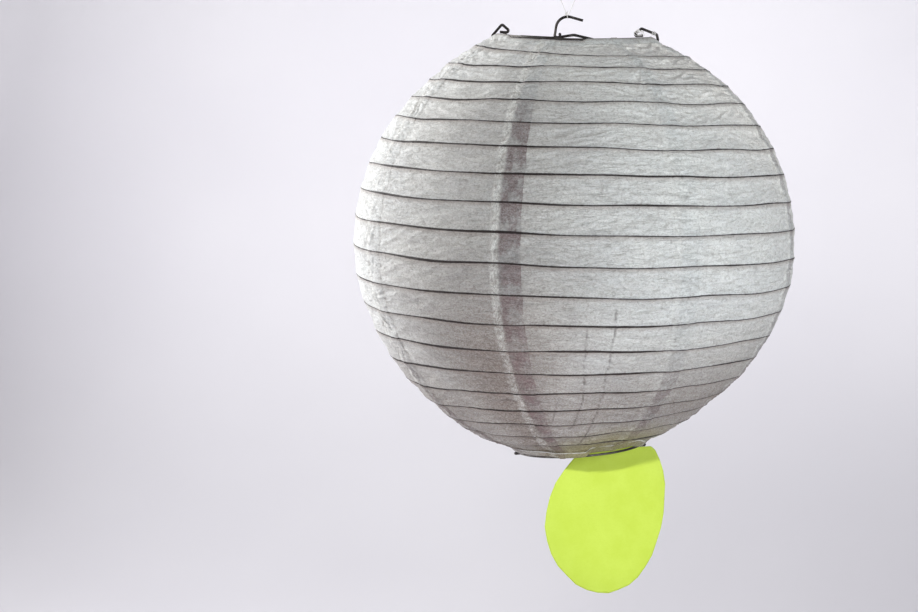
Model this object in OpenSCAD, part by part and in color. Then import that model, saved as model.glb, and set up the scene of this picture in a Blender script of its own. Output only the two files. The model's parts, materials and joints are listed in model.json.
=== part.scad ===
// Round hanging paper lantern: glued paper gores on a spiral wire rib, held open
// by a wire expander, with a paper tag hung under it. Millimetres, +Z up.
// The origin is where the lantern is hung: the top inside of its thread loop.

/* [Lantern body] */
// Outside diameter at the widest turn
lantern_d = 300; // [240:5:360]
// Diameter of the top ring, measured at the middle of its wire
top_opening_d = 105; // [95:1:120]
// Diameter of the bottom ring, measured at the middle of its wire
bottom_opening_d = 86; // [84:1:92]
// Height from the widest turn up to the top ring
upper_h = 138; // [120:1:150]
// Height from the widest turn down to the bottom ring
lower_h = 140; // [120:1:150]
// How much the lower half narrows: 1 is an ellipse, more is closer to a cone
lower_taper = 1.25; // [1:0.05:1.4]
// How far the bottom ring hangs off the lantern's axis, to the right
bottom_shift = 5.3; // [0:0.1:6]
// How far the bottom ring hangs out of level, right side up, in degrees
bottom_tilt = 4.4; // [0:0.2:5]
// How far the top ring bows, up at the two hooks and down between them
ring_bow = 1.4; // [0:0.1:2]
// How far the top ring hangs out of level, left side up, in degrees
top_tilt = 1.4; // [0:0.1:2]

/* [Paper] */
// Number of gores round the lantern
gore_count = 8; // [6:1:10]
// Direction of the first seam, anticlockwise from +X, in degrees
first_seam = -108; // [-120:1:-90]
// Thickness of the paper
paper_t = 0.3; // [0.2:0.05:0.5]
// Angle over which one gore laps the next
lap_angle = 5.5; // [3:0.5:8]

/* [Wire] */
// Diameter of the spiral rib wire
rib_d = 1; // [0.8:0.1:1.4]
// Turns of the spiral rib
rib_turns = 19; // [17:1:21]
// Diameter of the wire of the two end rings
ring_wire_d = 1.6; // [1.2:0.1:2]
// Diameter of the expander wire
wire_d = 1.8; // [1.4:0.1:2]
// Distance between the two arms of the expander
arm_spacing = 80; // [76:1:82]

/* [Hanging] */
// Radius of the rod or hook that the thread loop can hang from
hang_rod_r = 10; // [8:0.5:12]
// Height of the hanging hook above the top ring
hook_h = 14.9; // [14:0.1:20]
// How far the hook is bent off the lantern's axis
hook_offset = 4.4; // [0:0.2:6]
// Diameter of the hanging thread
thread_d = 0.5; // [0.4:0.1:0.6]

/* [Tag] */
// Width of the paper tag
tag_w = 79.4; // [60:0.2:84]
// Height of the tag's oval, before its top is cut off at the fold
tag_h = 113.5; // [90:0.5:120]
// Thickness of the tag's card
tag_t = 0.4; // [0.3:0.05:0.6]
// Lean of the oval, top to the right, in degrees
tag_lean = 15; // [0:1:16]

/* [Hidden] */
$fn = 32;

max_r = lantern_d / 2;
wire_r = wire_d / 2;
ring_r = ring_wire_d / 2;
rib_r = rib_d / 2;

// Heights. The hook's top bend hangs in the thread loop, below the origin.
hook_z = -3.5 * hang_rod_r;
top_z = hook_z - hook_h;
widest_z = top_z - upper_h;
bottom_z = widest_z - lower_h;

// The lantern's axis is a little to the right of the thread.
module on_axis() {
    translate([hook_offset, 0, 0])
        children();
}

// The profile is an angle above or below the widest turn, turned into [radius, height].
top_angle = acos(top_opening_d / 2 / max_r);
bottom_angle = -acos(pow(bottom_opening_d / 2 / max_r, 1 / lower_taper));
upper_axis = upper_h / sin(top_angle);
lower_axis = -lower_h / sin(bottom_angle);
function profile(a) = a >= 0
    ? [max_r * cos(a), widest_z + upper_axis * sin(a)]
    : [max_r * pow(cos(a), lower_taper), widest_z + lower_axis * sin(a)];

// A point of the profile moved outwards, square to the paper.
function moved_out(a, d) =
    let (along = profile(a + 0.5) - profile(a - 0.5))
    profile(a) + d * [along.y, -along.x] / norm(along);

// The gores stop short of the two rings, where the hooks need room.
edge_top = top_angle - 2;
edge_bottom = bottom_angle + 3.4;
profile_steps = 24;

// ---- Paper gores ----

gore_angle = 360 / gore_count;
// Angle of the step up to the lap, and of each band's run into the next, in degrees.
riser_angle = 1;
band_overlap = 0.2;
// The step is this much thinner and shorter than the bands, so that no faces coincide.
riser_inset = 0.03;
// Air under the lap, and at the seam where two gores meet.
lap_gap = 0.05;
seam_gap = 0.05;

// The cross-section of the paper between two distances from its middle surface.
module paper_section(inner, outer, short) {
    angles = [for (i = [0 : profile_steps])
        edge_top - short + (edge_bottom - edge_top + 2 * short) * i / profile_steps];
    polygon(concat(
        [for (a = angles) moved_out(a, outer)],
        [for (i = [profile_steps : -1 : 0]) moved_out(angles[i], inner)]));
}

module paper_band(from, to, inner, outer, short = 0) {
    rotate([0, 0, from])
        rotate_extrude(angle = to - from)
            paper_section(inner, outer, short);
}

// One gore: its sheet, the step up at its far edge, and the lap over the next gore.
module paper_gore(i) {
    half = paper_t / 2;
    lap_inner = half + lap_gap;
    lap_outer = lap_inner + paper_t;
    color("#dfe2dd")
        on_axis()
            rotate([0, 0, first_seam + (i - 1) * gore_angle]) {
                paper_band(seam_gap, gore_angle - riser_angle + band_overlap, -half, half);
                paper_band(gore_angle - riser_angle, gore_angle,
                    riser_inset - half, lap_outer - riser_inset, riser_inset);
                paper_band(gore_angle - band_overlap, gore_angle + lap_angle,
                    lap_inner, lap_outer);
            }
}

// ---- Spiral rib: one wire, winding down anticlockwise as seen from above ----

rib_start = 0.5;
rib_end = rib_start + rib_turns;
rib_steps_per_turn = 30;
rib_sides = 6;
// Air between the rib and the paper's inner face.
rib_clear = 0.5;
// Where the first and the last whole turns start and end, as profile angles.
first_turn_angle = 60.2;
last_turn_angle = -58.6;
// How much closer the turns are near the two ends, and how far they sag in the middle.
end_crowding = 2.3;
middle_sag = 2.3;

// The profile angle of the rib after w turns. Turns are closer near the two ends,
// and the first and last half turns run out to the rings.
function rib_angle(w) =
    let (first = rib_start + 0.5, last = rib_end - 0.5)
    w < first ? edge_top + (first_turn_angle - edge_top) * (w - rib_start) / 0.5
    : w > last ? last_turn_angle + (edge_bottom - last_turn_angle) * (w - last) / 0.5
    : let (u = 1 - 2 * (w - first) / (last - first),
           middle = (first_turn_angle + last_turn_angle) / 2,
           half = (first_turn_angle - last_turn_angle) / 2)
      middle + half * u + end_crowding * sin(180 * u) - middle_sag * cos(90 * u);

function rib_ring(w) =
    let (centre = moved_out(rib_angle(w), -paper_t / 2 - rib_clear - rib_r), turn = 360 * w - 90)
    [for (k = [0 : rib_sides - 1])
        let (r = centre.x + rib_r * cos(360 * k / rib_sides),
             z = centre.y + rib_r * sin(360 * k / rib_sides))
        [r * cos(turn), r * sin(turn), z]];

// A tube through rings of points, closed at both ends.
module tube(rings) {
    n = len(rings);
    sides = len(rings[0]);
    polyhedron(
        points = [for (ring = rings) each ring],
        faces = concat(
            [[for (k = [0 : sides - 1]) k]],
            [for (i = [0 : n - 2], k = [0 : sides - 1])
                let (a = i * sides + k, b = i * sides + (k + 1) % sides)
                each [[a, a + sides, b + sides], [a, b + sides, b]]],
            [[for (k = [sides - 1 : -1 : 0]) (n - 1) * sides + k]]));
}

// A tube through rings of points that comes back round to its first ring.
module closed_tube(rings) {
    n = len(rings);
    sides = len(rings[0]);
    polyhedron(
        points = [for (ring = rings) each ring],
        faces = [for (i = [0 : n - 1], k = [0 : sides - 1])
            let (a = i * sides + k, b = i * sides + (k + 1) % sides,
                 c = (i + 1) % n * sides + k, d = (i + 1) % n * sides + (k + 1) % sides)
            each [[a, d, b], [a, c, d]]]);
}

module spiral_rib() {
    steps = rib_turns * rib_steps_per_turn;
    color("#3a3230")
        on_axis()
            tube([for (i = [0 : steps]) rib_ring(rib_start + rib_turns * i / steps)]);
}

// ---- End rings ----

top_ring_r = top_opening_d / 2;
bottom_ring_r = bottom_opening_d / 2;
top_ring_steps = 72;
top_ring_sides = 10;

// The height of the top ring's wire at an angle round it.
function top_ring_z(a) = top_z + ring_bow * cos(2 * a) - top_ring_r * tan(top_tilt) * cos(a);

module top_ring() {
    color("#3a3230")
        on_axis()
            closed_tube([for (i = [0 : top_ring_steps - 1])
                let (a = 360 * i / top_ring_steps)
                [for (k = [0 : top_ring_sides - 1])
                    let (r = top_ring_r + ring_r * cos(360 * k / top_ring_sides),
                         z = top_ring_z(a) + ring_r * sin(360 * k / top_ring_sides))
                    [r * cos(a), r * sin(a), z]]]);
}

module bottom_ring() {
    color("#3a3230")
        on_axis()
            translate([bottom_shift, 0, bottom_z])
                rotate([0, -bottom_tilt, 0])
                    rotate_extrude()
                        translate([bottom_ring_r, 0])
                            circle(r = ring_r);
}

// ---- Bent wire: straight lengths joined by round bends ----

// A bend is a hair thicker than the wire, and each straight runs a little way into it.
bend_extra = 0.04;
run_in = 0.12;

function unit(v) = v / norm(v);
function to_3d(p) = [p.x, 0, p.y];

module straight(a, b, r) {
    d = b - a;
    if (norm(d) > 0.01)
        translate(a)
            rotate([0, acos(d.z / norm(d)), atan2(d.y, d.x)])
                cylinder(r = r, h = norm(d));
}

// A bend of centreline radius b at corner p, between directions u and v.
module bend(p, u, v, b, r) {
    turn = acos(u * v);
    across = unit(v - (u * v) * u);
    centre = p - u * b * tan(turn / 2) + across * b;
    normal = cross(-across, u);
    multmatrix([
        [-across.x, u.x, normal.x, centre.x],
        [-across.y, u.y, normal.y, centre.y],
        [-across.z, u.z, normal.z, centre.z],
        [0, 0, 0, 1]])
        rotate_extrude(angle = turn)
            translate([b, 0])
                circle(r = r + bend_extra);
}

// points are the corners of the wire, and bends the bend radius at each inner one.
module bent_wire(points, bends, r) {
    n = len(points);
    dirs = [for (i = [0 : n - 2]) unit(points[i + 1] - points[i])];
    cut = [for (i = [0 : n - 1]) i == 0 || i == n - 1 ? 0
        : bends[i - 1] * tan(acos(dirs[i - 1] * dirs[i]) / 2)];
    for (i = [0 : n - 2])
        straight(points[i] + dirs[i] * (cut[i] - (i == 0 ? 0 : run_in)),
            points[i + 1] - dirs[i] * (cut[i + 1] - (i == n - 2 ? 0 : run_in)), r);
    for (i = [1 : n - 2])
        bend(points[i], dirs[i - 1], dirs[i], bends[i - 1], r);
}

// ---- Expander: one wire with two arms, a ring hook on top of each, and a foot under each ----

arm_x = arm_spacing / 2;
// Air under the two rings, where the hooks and the feet pass them.
ring_gap = 0.1;
rest_gap = 0.3;
// Centreline radii of the bends of a ring hook, an arm's two ends and a foot's hairpin.
hook_bend = 1.2;
arm_bend = 3;
foot_bend = 2;
hairpin = 1.5;

// The base of a ring hook runs under the top ring and turns up round its outside, to an
// apex over the ring. Its tip comes back down inside and turns out over the ring again.
function base_z(side) = top_ring_z(side < 0 ? 180 : 0) - ring_r - wire_r - ring_gap;

// The ring hooks from the tip down to the outer end of the base, as [distance from the
// axis, height above the top ring's middle]. The right hook is squashed lower and wider.
left_hook = [[50.2, 4.7], [42.4, 4.3], [48.8, 9.9]];
right_hook = [[46.4, 2.3], [38.3, 1.5], [45.3, 6.9], [55.6, 2.8]];
hook_out_x = 56.6;

function hook_points(side) = concat(
    [for (p = side < 0 ? left_hook : right_hook) [side * p.x, top_z + p.y]],
    [[side * hook_out_x, base_z(side)]]);

// The feet and the bottom bar lie along the tilted bottom ring, just below it. The bar is
// in front of the arms, by the width of the hairpin bends.
foot_drop = ring_r + wire_r + rest_gap;
bar_y = -2 * hairpin;
foot_reach = bottom_ring_r + 1.5;

// A point at a distance along the bottom ring's slope and a drop square to it.
function on_slope(along, drop) = [
    bottom_shift + along * cos(bottom_tilt) + drop * sin(bottom_tilt),
    bottom_z + along * sin(bottom_tilt) - drop * cos(bottom_tilt)];

// Corners from the tip of the ring hook down to the bar, for side -1 or 1.
function arm_points(side) = concat(
    [for (p = concat(hook_points(side), [
        [side * arm_x, base_z(side)],
        on_slope(side * arm_x, foot_drop),
        on_slope(side * foot_reach, foot_drop)])) to_3d(p)],
    [to_3d(on_slope(side * foot_reach, foot_drop)) + [0, bar_y, 0]]);

function arm_bends(side) = concat(
    [for (i = [2 : len(hook_points(side))]) hook_bend],
    [arm_bend, foot_bend, hairpin, hairpin]);

function reversed(list) = [for (i = [len(list) - 1 : -1 : 0]) list[i]];

module expander_frame() {
    color("#2e2826")
        on_axis()
            bent_wire(concat(arm_points(-1), reversed(arm_points(1))),
                concat(arm_bends(-1), reversed(arm_bends(1))), wire_r);
}

// ---- Top bar: the hook wire from the right arm, and the tie wire from the left arm ----

// The eyes at the bar's two ends go round the arms, this far below the ring hooks.
eye_gap = 0.15;
eye_r = 2 * wire_r + eye_gap;
eye_drop = 4.6;
left_eye_z = base_z(-1) - eye_drop;
right_eye_z = base_z(1) - eye_drop;
// The arms lean over to the bottom ring, which puts them this far off their tops there.
eye_lean = bottom_shift * eye_drop / (top_z - bottom_z);
left_eye_x = eye_lean - arm_x;
right_eye_x = eye_lean + arm_x;

// The hook's top bend is level where the thread hangs. Its stem leans and its tip droops.
hook_bend_r = 8;
stem_lean = 8;
tip_droop = 16;
tip_reach = 17.6;
hook_half_turn = (90 - stem_lean + tip_droop) / 2;
hook_mid = (180 - stem_lean + 90 - tip_droop) / 2;
hook_top = [-hook_offset, hook_z];
hook_corner = hook_top - [0, hook_bend_r]
    + hook_bend_r / cos(hook_half_turn) * [cos(hook_mid), sin(hook_mid)];

// The bar from the right arm rises to its crest and dips to the foot of the hook's stem.
foot_z = top_z + 0.7;
hook_foot = [hook_corner.x - (hook_corner.y - foot_z) * tan(stem_lean), foot_z];
crest = [-0.2, top_z + 2.7];
crest_bend = 8;
foot_corner_bend = 1.6;
bar_dir = unit(crest - hook_foot);

// The tie wire steps up from its eye to a shoulder just over the ring, passes in front of
// the hook's stem, and ends at an eye round the bar, this far from the foot of the stem.
tie_shoulder = [-36.6, 0, top_z + 1.7];
tie_pass = [-15, -2.2, top_z + 0.65];
shoulder_bend = 1.2;
pass_bend = 6;
tie_from_foot = 4;
tie_at = hook_foot + tie_from_foot * bar_dir;

// A closed eye of wire, round a wire that is at an angle from straight up.
module eye(centre, angle) {
    translate(centre)
        rotate([0, angle, 0])
            rotate_extrude()
                translate([eye_r, 0])
                    circle(r = wire_r + bend_extra);
}

module hook_wire() {
    color("#2e2826")
        on_axis() {
            eye([right_eye_x, 0, right_eye_z], 0);
            bent_wire([for (p = [
                [right_eye_x - eye_r, right_eye_z],
                crest,
                hook_foot,
                hook_corner,
                hook_corner + tip_reach * [cos(tip_droop), -sin(tip_droop)]]) to_3d(p)],
                [crest_bend, foot_corner_bend, hook_bend_r], wire_r);
        }
}

module tie_wire() {
    color("#2e2826")
        on_axis() {
            eye([left_eye_x, 0, left_eye_z], 0);
            eye(to_3d(tie_at), 90 - atan2(bar_dir.y, bar_dir.x));
            bent_wire([
                [left_eye_x + eye_r, 0, left_eye_z],
                tie_shoulder,
                tie_pass,
                to_3d(tie_at) - [0, eye_r, 0]],
                [shoulder_bend, pass_bend], wire_r);
        }
}

// ---- Thread: the hanging loop, its knot, and the binding on the right ring hook ----

thread_r = thread_d / 2;
thread_sides = 8;
// Half the loop's route, from under the hook wire up one strand to the loop's top,
// as [x, y, z] measured from the middle of the hook wire.
strand = [
    [0.0, -0.6, -1.2], [0.1, -1.2, -0.7], [0.2, -1.4, 0.2], [0.7, -1.3, 1.7],
    [1.9, -1.1, 4.5], [3.2, -1.0, 7.5], [4.5, -0.8, 10.5], [5.9, -0.6, 13.5],
    [7.2, -0.4, 16.5], [8.4, -0.3, 19.2], [9.4, -0.2, 21.5], [10.0, -0.1, 23.5],
    [10.2, 0.0, 25.2], [10.0, 0.0, 27.4], [9.2, 0.0, 29.5], [7.9, 0.0, 31.5],
    [6.1, 0.0, 33.2], [4.0, 0.0, 34.4], [2.0, 0.0, 35.05]];
knot_at = [-0.9, -1.3, 2.0];
loop_top = [0, 0, 35.25];

function moved_to_hook(p) = [p.x, p.y, p.z + hook_z];
last_strand = len(strand) - 1;
// From the knot down the front, under the wire, up the back, over the top and down again.
thread_route = [for (p = concat(
    [[-0.8, -1.35, 1.6], [-0.3, -1.4, 0.3], [-0.2, -1.2, -0.7], [-0.1, -0.6, -1.2],
     [0.0, 0.0, -1.35]],
    [for (i = [0 : last_strand]) [strand[i].x, -strand[i].y, strand[i].z]],
    [loop_top],
    [for (i = [last_strand : -1 : 4]) [-strand[i].x, strand[i].y, strand[i].z]],
    [[-1.1, -1.25, 2.5]])) moved_to_hook(p)];

function route_direction(i) =
    let (n = len(thread_route))
    unit(thread_route[min(n - 1, i + 1)] - thread_route[max(0, i - 1)]);

// A ring of points round the route, square to it. Y is never along the thread's upper run.
function thread_ring(i) =
    let (d = route_direction(i),
         side = unit(cross(d, abs(d.y) < 0.7 ? [0, 1, 0] : [1, 0, 0])),
         other = cross(d, side))
    [for (k = [0 : thread_sides - 1])
        thread_route[i] + thread_r * (cos(360 * k / thread_sides) * side
            + sin(360 * k / thread_sides) * other)];

module thread_loop() {
    color("#e8e6e4")
        tube([for (i = [0 : len(thread_route) - 1]) thread_ring(i)]);
}

module thread_knot() {
    color("#e8e6e4")
        translate(moved_to_hook(knot_at))
            sphere(r = 2 * thread_d);
}

// Turns of thread wound tight together round the inner leg of the right ring hook.
binding_turns = 5;
binding_r = 0.3;
binding_start = 4.4;
binding_pitch = 1.7 * binding_r;
binding_gap = 0.05;
module thread_binding() {
    inner = hook_points(1)[1];
    leg = hook_points(1)[2] - inner;
    color("#e8e6e4")
        on_axis()
            translate(to_3d(inner))
                rotate([0, 90 - atan2(leg.y, leg.x), 0])
                    for (i = [0 : binding_turns - 1])
                        translate([0, 0, binding_start + i * binding_pitch])
                            rotate_extrude()
                                translate([wire_r + binding_gap + binding_r, 0])
                                    circle(r = binding_r);
}

// ---- Paper tag, folded over the bottom bar ----

// The middle of the oval, right of the axis and below the bottom ring.
tag_centre = [23.1, bottom_z - 45.5];
// How much narrower the oval is at its top, and how far its two ends bow to the right.
tag_egg = 0.08;
tag_bow = 6.2;
outline_step = 6;
// The sleeve round the bar: its air, and where it starts and ends along the bar.
fold_gap = 0.3;
fold_inner = wire_r + fold_gap;
fold_from = 5;
fold_to = 37;
// The flap glued down behind: its height, and how much narrower it is than the sleeve.
flap_h = 12;
flap_inset = 0.5;

function tag_point(a) = [
    tag_w / 2 * cos(a) * (1 - tag_egg * sin(a)) + tag_bow * sin(a) * sin(a),
    tag_h / 2 * sin(a)];

module tag_oval() {
    translate(tag_centre)
        rotate(-tag_lean)
            polygon([for (a = [0 : outline_step : 360 - outline_step]) tag_point(a)]);
}

// A place on the tag's own plane, from a distance along the bottom bar, downwards.
// It starts in the sleeve's wall, some part of the card's thickness below the bore.
module below_bar(from, w, h, depth) {
    translate(on_slope(0, foot_drop + fold_inner + depth * tag_t))
        rotate(bottom_tilt)
            translate([from, -h])
                square([w, h]);
}

// A sheet of the tag's card, t thick, with its back face this far behind the bar's middle.
module card(back, t) {
    translate([0, bar_y, 0])
        rotate([90, 0, 0])
            translate([0, 0, -back])
                linear_extrude(t)
                    children();
}

// The oval sheet, the sleeve that goes round the bar, and the flap glued down behind.
module paper_tag() {
    glue_bite = 0.05;
    sleeve_w = fold_to - fold_from;
    color("#d6f14c")
        on_axis() {
            card(tag_t / 2, tag_t)
                intersection() {
                    tag_oval();
                    below_bar(-tag_w, 3 * tag_w, 2 * tag_h, 0.5);
                }
            card(1.5 * tag_t, tag_t + glue_bite)
                below_bar(fold_from + flap_inset, sleeve_w - 2 * flap_inset, flap_h, 0.35);
            translate(to_3d(on_slope(0, foot_drop)) + [0, bar_y, 0])
                rotate([0, 90 - bottom_tilt, 0])
                    translate([0, 0, fold_from])
                        difference() {
                            cylinder(r = fold_inner + tag_t, h = sleeve_w);
                            translate([0, 0, -1])
                                cylinder(r = fold_inner, h = sleeve_w + 2);
                        }
        }
}

thread_loop();
thread_knot();
hook_wire();
tie_wire();
expander_frame();
thread_binding();
top_ring();
bottom_ring();
spiral_rib();
for (i = [1 : gore_count])
    paper_gore(i);
paper_tag();
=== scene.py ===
import json
import math

import bpy
import numpy as np
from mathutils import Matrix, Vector


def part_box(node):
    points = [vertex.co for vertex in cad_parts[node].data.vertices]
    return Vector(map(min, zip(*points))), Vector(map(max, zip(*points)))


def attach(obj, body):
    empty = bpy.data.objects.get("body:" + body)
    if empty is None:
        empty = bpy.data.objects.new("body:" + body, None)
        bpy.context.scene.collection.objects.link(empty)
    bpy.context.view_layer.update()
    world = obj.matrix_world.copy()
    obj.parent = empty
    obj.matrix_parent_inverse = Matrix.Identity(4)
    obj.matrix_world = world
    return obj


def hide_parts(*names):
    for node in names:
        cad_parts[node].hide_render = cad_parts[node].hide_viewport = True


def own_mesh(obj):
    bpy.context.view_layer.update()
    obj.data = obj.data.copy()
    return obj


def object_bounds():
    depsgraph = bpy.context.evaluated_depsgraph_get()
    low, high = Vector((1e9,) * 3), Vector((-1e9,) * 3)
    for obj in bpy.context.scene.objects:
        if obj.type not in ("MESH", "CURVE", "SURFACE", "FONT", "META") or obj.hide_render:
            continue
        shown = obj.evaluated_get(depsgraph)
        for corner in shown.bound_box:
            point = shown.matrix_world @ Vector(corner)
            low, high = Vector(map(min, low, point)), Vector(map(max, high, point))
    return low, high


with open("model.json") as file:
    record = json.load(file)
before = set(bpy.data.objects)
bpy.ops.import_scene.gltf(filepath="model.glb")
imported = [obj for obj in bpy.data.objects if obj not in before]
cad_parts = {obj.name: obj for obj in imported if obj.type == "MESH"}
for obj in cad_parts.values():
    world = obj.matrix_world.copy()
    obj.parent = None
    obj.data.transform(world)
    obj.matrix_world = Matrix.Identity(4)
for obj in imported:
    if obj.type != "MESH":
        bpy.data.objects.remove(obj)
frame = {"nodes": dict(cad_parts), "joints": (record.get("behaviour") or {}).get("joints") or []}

CAD_BOX = [list(corner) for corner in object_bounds()]

# The paper lantern as it looks: paper gores and hems, the spiral rib, the thread and the tag,
# with the CAD model's own wires.

# Lengths are in metres, and MM turns a size in millimetres into metres. The shade's azimuths
# and profile angles are in degrees. An azimuth of -90 is the front, and a place down the
# shade is a rib turn w, from W_TOP at the top ring to W_BOTTOM at the bottom ring.
MM = 0.001

# ---- Sizes, from the frame where it has them ----


def node_box(node):
    """The low and high corners of a CAD node's box."""
    low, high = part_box(node)
    return np.array(low), np.array(high)


JOINTS = {joint["name"]: joint for joint in frame["joints"]}
HOOK_Z = JOINTS["lantern_swing"]["pos_m"][2]
BAR = Vector(JOINTS["tag_swing"]["pos_m"])
BAR_DIR = Vector(JOINTS["tag_swing"]["axis"])

RING_R = 0.8 * MM
top_low, top_high = node_box("top_ring")
TOP_R = (top_high[0] - top_low[0]) / 2 - RING_R
AXIS_X = (top_low[0] + top_high[0]) / 2
HOOK_ABOVE_RING = 14.9 * MM
TOP_Z = HOOK_Z - HOOK_ABOVE_RING
TOP_BOW = 1.4 * MM
TOP_TILT = math.radians(1.4)

bottom_low, bottom_high = node_box("bottom_ring")
BOTTOM_R = (bottom_high[1] - bottom_low[1]) / 2 - RING_R
BOTTOM_Z = (bottom_low[2] + bottom_high[2]) / 2
BOTTOM_SHIFT = (bottom_low[0] + bottom_high[0]) / 2 - AXIS_X
BOTTOM_TILT = math.asin(((bottom_high[2] - bottom_low[2]) / 2 - RING_R) / BOTTOM_R)

# The lantern's design, as the CAD model has it. EDGE_SHORT is how many degrees of profile
# the first and last bands are short of the rings, and the two turns are profile angles too.
MAX_R = 150 * MM
UPPER_H = 138 * MM
LOWER_H = 140 * MM
LOWER_TAPER = 1.25
WIDEST_Z = TOP_Z - UPPER_H
GORES = 8
GORE_DEG = 360 / GORES
FIRST_SEAM = -108
LAP_DEG = 5.5
GORE_WIDE = GORE_DEG + LAP_DEG
RIB_START, RIB_END = 0.5, 19.5
EDGE_SHORT = (2.0, 3.4)
FIRST_TURN, LAST_TURN = 60.2, -58.6
END_CROWDING, MIDDLE_SAG = 2.3, 2.3
WIRE_R = 0.9 * MM
RIB_WIRE_R = 0.5 * MM

TOP_ANGLE = math.degrees(math.acos(TOP_R / MAX_R))
BOTTOM_ANGLE = -math.degrees(math.acos((BOTTOM_R / MAX_R) ** (1 / LOWER_TAPER)))
UPPER_AXIS = UPPER_H / math.sin(math.radians(TOP_ANGLE))
LOWER_AXIS = -LOWER_H / math.sin(math.radians(BOTTOM_ANGLE))
EDGE_TOP = TOP_ANGLE - EDGE_SHORT[0]
EDGE_BOTTOM = BOTTOM_ANGLE + EDGE_SHORT[1]


def smooth(low, high, x):
    """0 below low, 1 above high, and a smooth step between."""
    t = np.clip((x - low) / (high - low), 0, 1)
    return t * t * (3 - 2 * t)


def window(x, up_from, up_to, down_from, down_to):
    """1 from up_to to down_from, 0 below up_from and above down_to, with smooth steps."""
    return smooth(up_from, up_to, x) * (1 - smooth(down_from, down_to, x))


# ---- Noise: the same every run ----

rng = np.random.default_rng(11)
LATTICE = 256
ORDER = rng.permutation(LATTICE)
SLOPES = rng.normal(size=(LATTICE, 3))
SLOPES /= np.linalg.norm(SLOPES, axis=1, keepdims=True)


def noise(x, y, z):
    """Gradient noise, about -1 to 1, at arrays of points."""
    x, y, z = np.broadcast_arrays(x, y, z)
    cell = [np.floor(v).astype(int) for v in (x, y, z)]
    part = [v - c for v, c in zip((x, y, z), cell)]
    ease = [f * f * f * (f * (f * 6 - 15) + 10) for f in part]
    total = np.zeros(x.shape)
    for dx in (0, 1):
        for dy in (0, 1):
            for dz in (0, 1):
                spot = ORDER[(cell[0] + dx) % LATTICE]
                spot = ORDER[(spot + cell[1] + dy) % LATTICE]
                spot = ORDER[(spot + cell[2] + dz) % LATTICE]
                slope = SLOPES[spot]
                value = (
                    slope[..., 0] * (part[0] - dx)
                    + slope[..., 1] * (part[1] - dy)
                    + slope[..., 2] * (part[2] - dz)
                )
                weight = (
                    (ease[0] if dx else 1 - ease[0])
                    * (ease[1] if dy else 1 - ease[1])
                    * (ease[2] if dz else 1 - ease[2])
                )
                total += value * weight
    return total * 1.5


# Taken off the ridged noise below, so that folds go in as well as out.
RIDGE_LEVEL = 0.4


def ridged(x, y, z):
    """Sharp crests on a soft ground, 0 to 1."""
    return np.clip(1 - 2.2 * np.abs(noise(x, y, z)), 0, 1)


# ---- The lantern's surface ----


def rib_angle(w):
    """The profile angle of the rib after w turns, run on to the two rings."""
    first, last = RIB_START + 0.5, RIB_END - 0.5
    u = 1 - 2 * (w - first) / (last - first)
    middle, half = (FIRST_TURN + LAST_TURN) / 2, (FIRST_TURN - LAST_TURN) / 2
    turns = middle + half * u + END_CROWDING * np.sin(np.pi * u) - MIDDLE_SAG * np.cos(np.pi / 2 * u)
    above = EDGE_TOP + (FIRST_TURN - EDGE_TOP) * (w - RIB_START) / 0.5
    below = LAST_TURN + (EDGE_BOTTOM - LAST_TURN) * (w - last) / 0.5
    return np.where(w < first, above, np.where(w > last, below, turns))


W_TOP = RIB_START - 0.5 * EDGE_SHORT[0] / (EDGE_TOP - FIRST_TURN)
W_BOTTOM = RIB_END + 0.5 * EDGE_SHORT[1] / (LAST_TURN - EDGE_BOTTOM)


def profile(angle):
    """Radius and height of the paper's middle surface at profile angles in degrees."""
    a = np.radians(angle)
    upper = angle >= 0
    r = MAX_R * np.where(upper, np.cos(a), np.cos(a) ** LOWER_TAPER)
    z = WIDEST_Z + np.where(upper, UPPER_AXIS, LOWER_AXIS) * np.sin(a)
    return r, z


def profile_normal(angle):
    """The profile's outward direction, as its shares of radius and height."""
    r0, z0 = profile(angle - 0.25)
    r1, z1 = profile(angle + 0.25)
    size = np.hypot(r1 - r0, z1 - z0)
    return (z1 - z0) / size, -(r1 - r0) / size


def rib_spots(theta, w):
    """The turns of the two ribs, or ring and rib, that a point of the paper lies between."""
    base = (theta + 90) / 360
    above = np.floor(w - base + 1e-9) + base
    return np.maximum(above, W_TOP), np.minimum(above + 1, W_BOTTOM)


# The paper over a turn of the rib lies a little inside the profile, and over a ring's wire
# this much outside the wire. Between the turns it sags by a share of the band's width.
CREST = -0.35 * MM
OVER_RING = 0.1 * MM
SAG_SHARE = 0.055

# Long creases down the paper, as azimuths and turns along each, and its depth in mm. Each is a groove, and
# its line is painted darker as painted shade in the crease.
CREASES = [
    ([-87.1, -87.9, -89.8, -92.0, -94.4], [12.0, 15.3, 16.1, 16.9, 17.5], 0.55),
    ([-79.2, -80.1, -82.0, -83.2, -85.1, -87.5, -91.1], [11.3, 12.7, 15.3, 16.2, 17.2, 18.1, 19.0], 0.6),
    ([-95.4, -97.9, -101.4], [15.1, 15.8, 17.0], 0.4),
    ([-155.6, -154.9], [12.2, 12.6], 0.9),
    ([-153.3, -152.6], [8.2, 8.5], 0.6),
    ([-31.0, -34.0], [14.0, 17.5], 0.3),
    ([12.0, 9.0], [4.0, 9.0], 0.35),
    ([58.0, 61.0], [10.5, 17.0], 0.5),
    ([101.0, 97.0], [2.5, 7.5], 0.4),
    ([139.0, 143.0], [12.0, 18.0], 0.45),
    ([166.0, 163.0], [5.0, 10.0], 0.35),
]

# How dark each gore's lap is painted, as painted shade of the double sheet against the light behind it, and
# how crinkled the glue line beside it is.
# Below 0 the lap is painted a little lighter than the single sheet, as painted light on the double sheet.
LAP_SHADE = (-0.6, 0.5, 0.35, 0.6, 0.4, 0.5, -0.5, 1.0)
GLUE_CRINKLE = (0.3, 0.7, 0.8, 0.6, 0.8, 0.7, 0.6, 1.0)
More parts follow.
